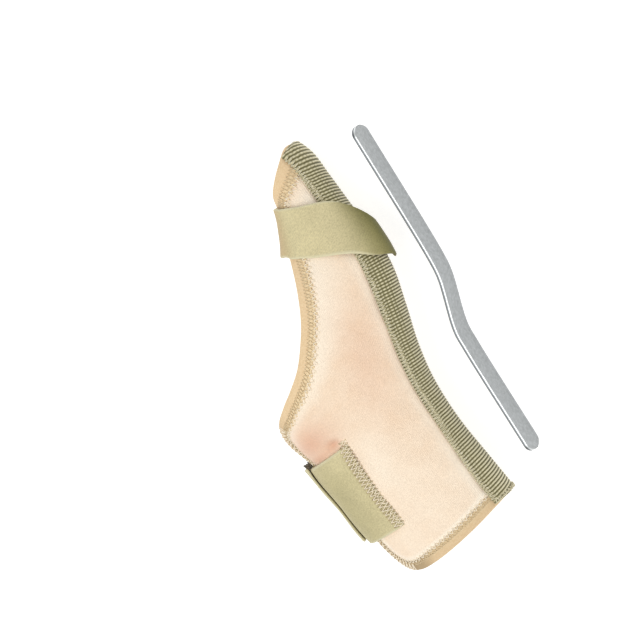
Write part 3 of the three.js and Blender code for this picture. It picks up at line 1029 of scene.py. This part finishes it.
def thumb_strap_point(t, u, face):
    length, width = THUMB_STRAP_LENGTH, THUMB_STRAP_WIDTH
    around, low, high = curve_through(THUMB_STRAP, t).T
    along, across = t * length, u * width
    y = low + (high - low) * u
    q = around * outline(y)[2][:, -1]
    near = np.minimum(np.abs(q - fold_at(y)) / STRAP_RISE, 1)
    rise = CHANNEL_TOP * np.cos(near * np.pi / 2) ** 2
    lift = STRAP_LIFT * (1 - np.minimum(t / LIFT_FROM, 1)) ** 2
    dip = fade(OPEN_SIDE, around) * ramp(*DIP_ACROSS, u)
    base = NEOPRENE + STRAP_GAP + rise + lift - dip
    h = strap_faces(base, along, across, length, width, face, THUMB_STRAP_CLOTH)
    spots = place(q, y, h)
    spots[:, 2] = np.maximum(spots[:, 2], STRAP_FLOOR)
    from_cut = np.minimum(across, width - across) + 2 * EDGE_ROUND * (1 - ramp(*PALE_CUT_FROM, along))
    # painted shade at the cut end and over the open side, a little lighter at the tip
    tone_and_painted_light = ramp(0, PAINTED_SHADE_END, along) - fade(SIDE_PAINTED_SHADE, around)
    tone_and_painted_light += TIP_LIGHTER["strength"] - fade(TIP_LIGHTER, along)
    # the last note is a painted warm reflection over the open side
    return spots, flat_way(along, across), {
        "from_cut": from_cut, "tone_and_painted_light": tone_and_painted_light, "painted_warm_reflection": fade(PAINTED_REFLECTION_SPAN, around)}


thumb_strap = cloth_piece(
    "thumb_strap_cloth", THUMB_ROWS, THUMB_COLUMNS, thumb_strap_point, ("from_cut", "tone_and_painted_light", "painted_warm_reflection"))

# %% [markdown]
# The wrist strap is the same cloth, sewn on the palm flap and turned round the outer side of the
# wrist. Under its sewn end the cloth is pressed thin. Cloth that is pulled tight runs straighter than
# the form below it, so the strap is lifted a little in the middle of its width.

# %% Wrist strap
WRIST_STRAP = {"from": 45.0, "to": 89.0, "low": 16.3, "high": 61.5}
PRESSED_FROM = 1.5
PRESSED_TO = 4.0
PRESSED_GAP = 0.8
PRESSED_THIN = 1.2
STRAIGHTEN = {"middle": 39.5, "half": 22.0, "strength": 1.7, "from": 60.0, "to": 74.0}
# the strap's own tone, painted shade where it turns round the outer side, paler along its edges
WRIST_TONE = 0.86
TURN_PAINTED_SHADE = {"strength": 0.2, "from": 48, "to": 66}
HIGH_PALE = {"strength": 0.13, "from": 0.7, "to": 0.98}
LOW_PALE = {"strength": 0.06, "from": 0.3, "to": 0.02}
WRIST_ROWS = 90
WRIST_COLUMNS = 84


def strap_ways(size, t, u):
    length, width = size["to"] - size["from"], size["high"] - size["low"]
    along, across = t * length, u * width
    return along, across, length, width, size["from"] + along, size["low"] + across


def straightened(q, y):
    part = 1 - ((y - STRAIGHTEN["middle"]) / STRAIGHTEN["half"]) ** 2
    return fade(STRAIGHTEN, q) * np.maximum(part, 0)


def wrist_strap_point(t, u, face):
    along, across, length, width, q, y = strap_ways(WRIST_STRAP, t, u)
    pressed = 1 - ramp(PRESSED_FROM, PRESSED_TO, along)
    base = NEOPRENE + STRAP_GAP * (1 - PRESSED_GAP * pressed)
    h = strap_faces(base, along, across, length, width, face) - face * PRESSED_THIN * pressed
    spots = place(q, y, h + straightened(q, y))
    from_cut = np.minimum(across, width - across)
    # own tone, painted shade where the strap turns round the outer side, paler along its edges
    tone_and_painted_light = WRIST_TONE - fade(TURN_PAINTED_SHADE, q) + fade(HIGH_PALE, u) + fade(LOW_PALE, u)
    return spots, flat_way(along, across), {"from_cut": from_cut, "tone_and_painted_light": tone_and_painted_light}


wrist_strap = cloth_piece(
    "wrist_strap_cloth", WRIST_ROWS, WRIST_COLUMNS, wrist_strap_point, ("from_cut", "tone_and_painted_light"))

# %% [markdown]
# A tab of thinner loop cloth comes up from the back flap, lies over the wrist strap and holds it.
# It steps down from the strap to the flap where the strap ends below it.

# %% Wrist tab
WRIST_TAB = {"from": 73.0, "to": 97.0, "low": 18.6, "high": 63.5}
TAB_STEP = 5.5
TAB_CLOTH = 1.3
TAB_GAP = 0.55
TAB_TONE = 0.7


def wrist_tab_point(t, u, face):
    along, across, length, width, q, y = strap_ways(WRIST_TAB, t, u)
    past = ramp(WRIST_STRAP["to"], WRIST_STRAP["to"] + TAB_STEP, q)
    base = NEOPRENE + STRAP_GAP + (STRAP_CLOTH + TAB_GAP) * (1 - past)
    h = strap_faces(base, along, across, length, width, face, TAB_CLOTH)
    spots = place(q, y, h + straightened(q, y))
    from_cut = np.minimum.reduce([across, width - across, along])
    tone_and_painted_light = np.full_like(along, TAB_TONE)
    return spots, flat_way(along, across), {"from_cut": from_cut, "tone_and_painted_light": tone_and_painted_light}


wrist_tab = cloth_piece(
    "wrist_tab_cloth", WRIST_ROWS // 2, WRIST_COLUMNS, wrist_tab_point, ("from_cut", "tone_and_painted_light"))

# %% [markdown]
# Loop cloth is a knit with its face brushed up, so it is matt, a little shaggy and unevenly toned.
# Its own tone is pale olive, and painted shade turns it dark olive at the thumb strap's cut end, over
# the open side and where the wrist strap turns round the outer side; it is a little paler along the
# wrist strap's edges and at the thumb strap's tip. A painted warm reflection is mixed in over the open
# side. A fine slanting twill shows through the nap, and the cut edges are pale, because the white core
# shows.
# The loops are about a third and the twill half a millimetre, both drawn coarser so that they show.
# Blender's slanting wave is half as dense as its straight one, so its scale is doubled.

# %% Brushed loop cloth
TWILL = 1.1
SHAG = 0.8
CLOUD = 12

loop_cloth, tree, shader = new_material("brushed_loop_cloth", Roughness=0.95, Sheen_Weight=0.15)
spot = add_node(tree, "TexCoord").outputs["Object"]
cloth = add_node(tree, "UVMap", uv_map="cloth")
shag = add_node(tree, "TexNoise", {
    "Vector": spot, "Scale": 1000 / SHAG, "Detail": 4.0, "Roughness": 0.65})
cloud = add_node(tree, "TexNoise", {"Vector": spot, "Scale": 1000 / CLOUD, "Detail": 2.0})
twill = add_node(tree, "TexWave", {
    "Vector": cloth, "Scale": 2 * wave_scale(TWILL), "Distortion": 2.5, "Detail": 2.0,
    "Detail Scale": 2.0}, bands_direction="DIAGONAL").outputs["Fac"]
# painted shade: dark olive where the tone note is low
tone_with_painted_shade = tinted(tree, linear("#6C6812"), "tone_and_painted_light", linear("#D4C89C"))
# painted warm reflection mixed in over the open side
with_painted_reflection = tinted(tree, tone_with_painted_shade, "painted_warm_reflection", linear("#C4925D"))
shaggy = add_node(tree, "Math", {0: shag, 1: 0.9, 2: -0.15}, operation="MULTIPLY_ADD")
slanted = add_node(tree, "Math", {0: twill, 1: 0.06, 2: shaggy}, operation="MULTIPLY_ADD")
uneven = add_node(tree, "Math", {0: cloud, 1: 0.3, 2: slanted}, operation="MULTIPLY_ADD")
shade = add_node(tree, "MapRange", {
    "Value": uneven, "From Min": 0.25, "From Max": 0.7, "To Min": 0.76, "To Max": 1.16})
toned = add_node(tree, "Mix", {
    "Factor": 1.0, "A": with_painted_reflection, "B": shade}, data_type="RGBA", blend_type="MULTIPLY")
edged = tinted(tree, toned, "from_cut", linear("#DAD4B2"), {
    "From Min": 0.2, "From Max": 1.3, "To Min": 0.75, "To Max": 0.0})
nap = add_node(tree, "Bump", {"Height": uneven, "Distance": 0.0004, "Strength": 0.5})
connect(tree, shader, Base_Color=edged, Normal=nap)

finish_piece(thumb_strap, loop_cloth, ["thumb_strap"])
finish_piece(wrist_strap, loop_cloth, ["wrist_strap"])
finish_piece(wrist_tab, loop_cloth, ["wrist_tab"])

# %% [markdown]
# A pad of stiff nylon hooks is what grips the loops. It lies between the strap and the tab, and only
# its ragged dark end shows, past the upper edge of the strap. Two sines of odd length make it ragged.
# A hook's wire is about a fifth of a millimetre, and is drawn coarser so that it shows.

# %% Hook pad
HOOK_PAD = {"from": 75.5, "to": 89.5, "low": 21.5, "high": 64.9, "thick": 0.32, "lift": 0.12}
RAGGED = [
    # amplitude, radians in a millimetre, phase
    (0.6, 4.1, 0.0), (0.4, 9.7, 1.0),
]
HOOK_ROWS = 40
HOOK_COLUMNS = 90
HOOK = 0.5


def hook_pad_point(t, u, face):
    along, _, _, _, q, y = strap_ways(HOOK_PAD, t, u)
    for amplitude, radians, phase in RAGGED:
        y = y + u * amplitude * np.sin(along * radians + phase)
    h = NEOPRENE + STRAP_GAP + STRAP_CLOTH + HOOK_PAD["lift"] + face * HOOK_PAD["thick"]
    return place(q, y, h + straightened(q, y)), flat_way(along, y), {}


hook_pad = cloth_piece("hook_pad_nylon", HOOK_ROWS, HOOK_COLUMNS, hook_pad_point)
hook_nylon, tree, shader = new_material("nylon_hook_tape", Roughness=0.6)
spot = add_node(tree, "TexCoord").outputs["Object"]
hooks = add_node(tree, "TexVoronoi", {"Vector": spot, "Scale": 1000 / HOOK})
tone = add_node(tree, "ValToRGB", {"Fac": hooks}, stops=[(0.0, "#D6D0BF"), (0.5, "#4A463B")])
connect(tree, shader, Base_Color=tone)
finish_piece(hook_pad, hook_nylon)

# %% [markdown]
# The wrist strap's end is held by a band of crossing zigzags in brown and pale thread.
# Each thread climbs from the flap on to the pressed cloth and from there on to the full cloth, and
# it comes down again past the strap's upper edge.

# %% Strap stitching
BAND_FROM = 44.0
BAND_TO = 48.8
BROWN_LINES = [
    # nearest and farthest reach, pitch, phase, lift
    (0.0, 0.42, 2.1, 0.0, 0.3), (0.3, 0.72, 2.3, 0.45, 0.5), (0.58, 1.0, 2.0, 0.1, 0.3),
]
PALE_LINES = [(0.05, 0.55, 1.9, 0.3, 0.6), (0.45, 0.92, 2.2, 0.75, 0.7)]
BAND_LOW = WRIST_STRAP["low"] + 0.3
BAND_HIGH = WRIST_STRAP["high"] + 2.5
BAND_LIFT = 0.1
ON_PRESSED = {"strength": 0.95, "from": WRIST_STRAP["from"] - 0.4, "to": WRIST_STRAP["from"] + 0.3}
ON_FULL = {
    "strength": 1.75, "from": WRIST_STRAP["from"] + PRESSED_FROM, "to": WRIST_STRAP["from"] + PRESSED_TO}
OFF_STRAP = (WRIST_STRAP["high"] - 0.2, WRIST_STRAP["high"] + 0.5)
BAND_RADIUS = 0.2


def band_line(near, far, pitch, phase, lift):
    y, sway = zigzag(BAND_LOW, BAND_HIGH, pitch, phase)
    q = BAND_FROM + (BAND_TO - BAND_FROM) * (near + (far - near) * sway)
    climb = (fade(ON_PRESSED, q) + fade(ON_FULL, q)) * (1 - ramp(*OFF_STRAP, y))
    return place(q, y, NEOPRENE + BAND_LIFT + climb + THREAD * lift)


brown_lines = [band_line(*line) for line in BROWN_LINES]
pale_lines = [band_line(*line) for line in PALE_LINES]
dark_thread = thread_material("dark_spun_thread", "#A29168", "#D2C198")
thread_piece("wrist_strap_brown_thread", brown_lines, dark_thread, BAND_RADIUS)
thread_piece("wrist_strap_pale_thread", pale_lines, pale_thread, BAND_RADIUS)

# %% [markdown]
# The stay is a strip of aluminium with round ends, bent into a dogleg, standing on its long edge.
# A smooth line through six knots is the bend. Rows crowd towards the ends, where the outline is round.

# %% Line of the stay
STAY_WIDTH = 14.0
STAY_METAL = 2.0
STAY_ROUND = 4.2
STAY_LEG_ROWS = 130
STAY_END_ROWS = 9
STAY_LINE = np.array([
    # x, y
    (61.0, 8.0), (66.2, 64.0), (67.6, 73.0), (77.0, 96.0), (78.8, 104.0), (86.3, 174.0),
])

stay_points, stay_run, stay_ways = measured_curve(STAY_LINE)
stay_length = stay_run[-1]
end_rows = STAY_ROUND * (1 - np.cos(np.linspace(0, np.pi / 2, STAY_END_ROWS)))
leg_rows = np.linspace(STAY_ROUND, stay_length - STAY_ROUND, STAY_LEG_ROWS)
row_places = np.concatenate([end_rows, leg_rows[1:-1], stay_length - end_rows[::-1]])
print("stay", round(stay_length, 1), "mm in", len(row_places), "rows")

# %% [markdown]
# A grid gives the strip's length and height, solidify gives the metal's thickness and a bevel breaks the
# sharp edges, which is what catches the light on the real strip. The attribute from_face is nought on
# the face and one on the back, so the metal can paint a highlight on the edge next to the face and shade
# on the part next to the back.
# The upright faces stay flat, and the rounded rim is smooth.

# %% Stay
STAY_BREAK = 0.4
BREAK_STEPS = 3
SHARP_ANGLE = 1.0
STAY_COLUMNS = 10
MERGE = 0.02
UPRIGHT = 0.05

half = STAY_WIDTH / 2
last_row = len(row_places) - 1
bm = bmesh.new()
bmesh.ops.create_grid(bm, x_segments=last_row, y_segments=STAY_COLUMNS, size=0.5)
for vert in bm.verts:
    along = row_places[round((vert.co.x + 0.5) * last_row)]
    to_end = min(along, stay_length - along, STAY_ROUND)
    reach = half * math.sqrt(max(1 - (1 - to_end / STAY_ROUND) ** 2, 0))
    x, y = (np.interp(along, stay_run, stay_points[:, k]) for k in range(2))
    way_x, way_y = (np.interp(along, stay_run, stay_ways[:, k]) for k in range(2))
    off = STAY_METAL / 2
    vert.co = to_row(np.array([x + way_y * off, y - way_x * off, half + 2 * vert.co.y * reach]))
bmesh.ops.remove_doubles(bm, verts=bm.verts, dist=MERGE * MM)
bmesh.ops.recalc_face_normals(bm, faces=bm.faces)
faces_right = sum(face.normal.x for face in bm.faces) > 0
bmesh.ops.solidify(bm, geom=bm.faces[:], thickness=STAY_METAL * MM * (1 if faces_right else -1))
bmesh.ops.recalc_face_normals(bm, faces=bm.faces)
sharp = [edge for edge in bm.edges if edge.calc_face_angle(0) > SHARP_ANGLE]
bmesh.ops.bevel(
    bm, geom=sharp, offset=STAY_BREAK * MM, segments=BREAK_STEPS, profile=0.5, material=-1,
    affect="EDGES")
from_face = bm.verts.layers.float.new("from_face")
for vert in bm.verts:
    spot_mm = (np.array(vert.co) / MM + np.array(ROW_ORIGIN))[:2]
    k = np.argmin(np.linalg.norm(stay_points - spot_mm, axis=1))
    off_line = (spot_mm - stay_points[k]) @ (stay_ways[k, 1], -stay_ways[k, 0])
    vert[from_face] = 0.5 - off_line / STAY_METAL
for face in bm.faces:
    face.smooth = abs(face.normal.z) > UPRIGHT
print(len(sharp), "edges broken")
stay = piece_from(bm, "stay_strip")

# %% [markdown]
# Satin aluminium is a bare metal with a fine tumbled grain, grey and soft on its face. Along its long
# edge, a highlight is painted on the part next to the face and shade on the part next to the back. A
# metal has no colour below its surface, so the grey is the colour of the reflection. The grain is far
# below a millimetre, and is drawn coarser so it shows.

# %% Satin aluminium
TUMBLE = 1.6
# painted highlight on the edge next to the face, painted shade on the part next to the back
PAINTED_EDGE_HIGHLIGHT_AND_SHADE = [
    # share of the metal's thickness, colour, how much of it shows
    (0.02, "#E4E7E7", 0.0), (0.12, "#E4E7E7", 1.0), (0.36, "#E4E7E7", 1.0),
    (0.45, "#787C7F", 1.0), (0.93, "#787C7F", 1.0), (0.99, "#787C7F", 0.0),
]

satin_aluminium, tree, shader = new_material("satin_aluminium", Metallic=1.0)
spot = add_node(tree, "TexCoord").outputs["Object"]
tumble = add_node(tree, "TexNoise", {
    "Vector": spot, "Scale": 1000 / TUMBLE, "Detail": 5.0, "Roughness": 0.7})
tone = add_node(tree, "ValToRGB", {"Fac": tumble}, stops=[(0.3, "#979A9A"), (0.7, "#AFB2B3")])
through = add_node(tree, "Attribute", attribute_name="from_face").outputs["Fac"]
# painted highlight and painted shade along the edge
band = add_node(tree, "ValToRGB", {"Fac": through}, stops=PAINTED_EDGE_HIGHLIGHT_AND_SHADE)
edged = add_node(tree, "Mix", {
    "Factor": band.outputs["Alpha"], "A": tone, "B": band}, data_type="RGBA")
dull = add_node(tree, "MapRange", {
    "Value": tumble, "From Min": 0.3, "From Max": 0.7, "To Min": 0.5, "To Max": 0.36})
scuff = add_node(tree, "Bump", {"Height": tumble, "Distance": 0.00012, "Strength": 0.35})
connect(tree, shader, Base_Color=edged, Roughness=dull, Normal=scuff)
finish_piece(stay, satin_aluminium, ["stay"])

# %% [markdown]
# Each cloth piece was cut flat before it was sewn.

print("each cloth piece was cut flat")

# %% [markdown]
# The stage is a plain white floor and soft light from all round, as in a catalogue picture.
# A broad lamp above and to the left gives the gentle shading, a smaller one lights the thumb side, and
# the sky fills the rest.

# %% Floor and light
FLOOR_SIZE = 3.0
FLOOR_DROP = 0.0002
FLOOR_GLOW = 0.7
SKY = 0.66
WHITE = linear("#FFFFFF")
LAMPS = [
    # name, place, size, watts
    ("broad_lamp", (-0.5, -0.1, 1.4), 1.2, 9.0),
    ("front_lamp", (0.9, -0.5, 1.2), 0.9, 3.5),
]

bm = bmesh.new()
bmesh.ops.create_grid(bm, x_segments=1, y_segments=1, size=FLOOR_SIZE)
bmesh.ops.translate(bm, verts=bm.verts, vec=(0, 0, -FLOOR_DROP))
floor = piece_from(bm, "floor")
floor_board, _, _ = new_material(
    "matt_white_board", Roughness=0.9, Base_Color=linear("#C8C8C8"), Emission_Color=WHITE,
    Emission_Strength=FLOOR_GLOW)
floor.data.materials.append(floor_board)

world = bpy.data.worlds.new("soft_sky")
world.use_nodes = True
world.node_tree.nodes["Background"].inputs["Color"].default_value = WHITE
world.node_tree.nodes["Background"].inputs["Strength"].default_value = SKY
bpy.context.scene.world = world
for name, spot_m, size, watts in LAMPS:
    lamp_data = bpy.data.lights.new(name, "AREA")
    lamp_data.size = size
    lamp_data.energy = watts
    lamp = bpy.data.objects.new(name, lamp_data)
    lamp.location = spot_m
    lamp.rotation_euler = (-Vector(spot_m)).to_track_quat("-Z", "Y").to_euler()
    bpy.context.scene.collection.objects.link(lamp)
bpy.context.scene.view_settings.view_transform = "Standard"
print("stage set")
